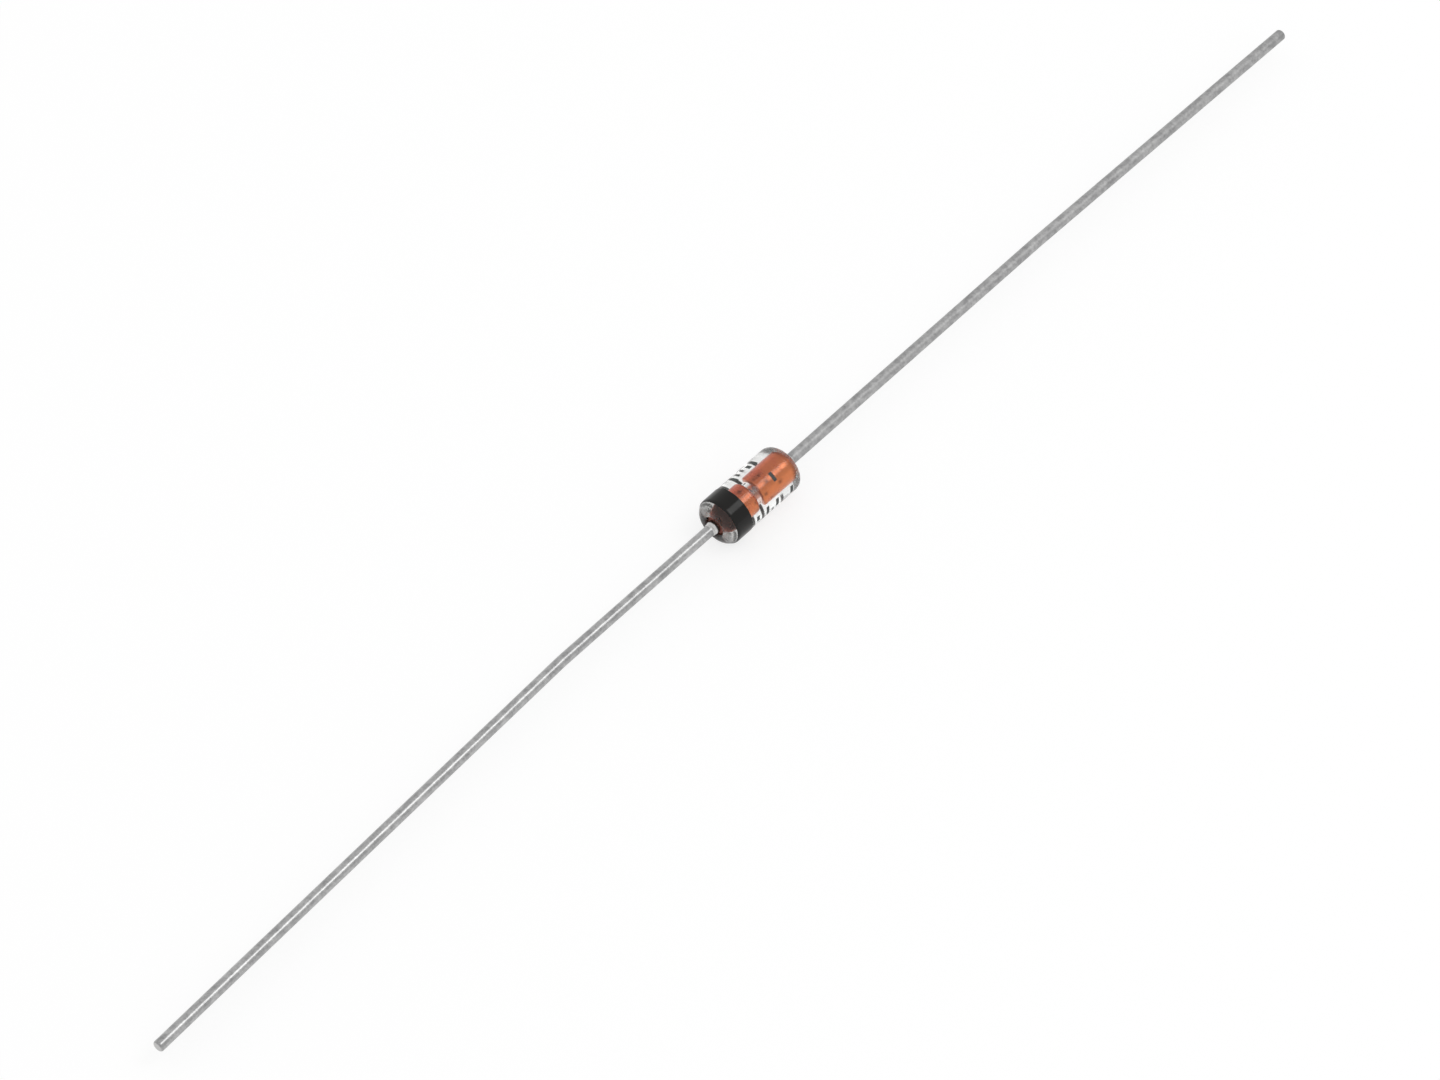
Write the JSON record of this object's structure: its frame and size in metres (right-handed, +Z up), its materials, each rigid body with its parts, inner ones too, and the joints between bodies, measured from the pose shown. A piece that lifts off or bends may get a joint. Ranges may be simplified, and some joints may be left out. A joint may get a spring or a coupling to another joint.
{
  "type": "zener diode",
  "caption": "Axial zener diode: a small clear glass body sealed over copper-coloured slugs and a silicon chip, with a black cathode band and a long tinned wire lead at each end.",
  "frame": {"origin": "centre of the glass body, on the lead axis", "axes": "+X along the lead axis from the cathode end to the anode end, +Z up; both leads bend slightly towards -Y"},
  "size_m": [0.0619, 0.0021, 0.002],
  "materials": {
    "glass": "gloss",
    "copper": "satin",
    "silicon": "gloss",
    "silver": "satin",
    "tinned_wire": "satin",
    "band_paint": "gloss"
  },
  "bodies": {
    "root": {"glass_sleeve": "glass", "cathode_slug": "copper", "anode_slug": "copper", "silicon_chip": "silicon", "silver_bump": "silver", "cathode_lead": "tinned_wire", "anode_lead": "tinned_wire", "cathode_band": "band_paint"}
  },
  "joints": []
}
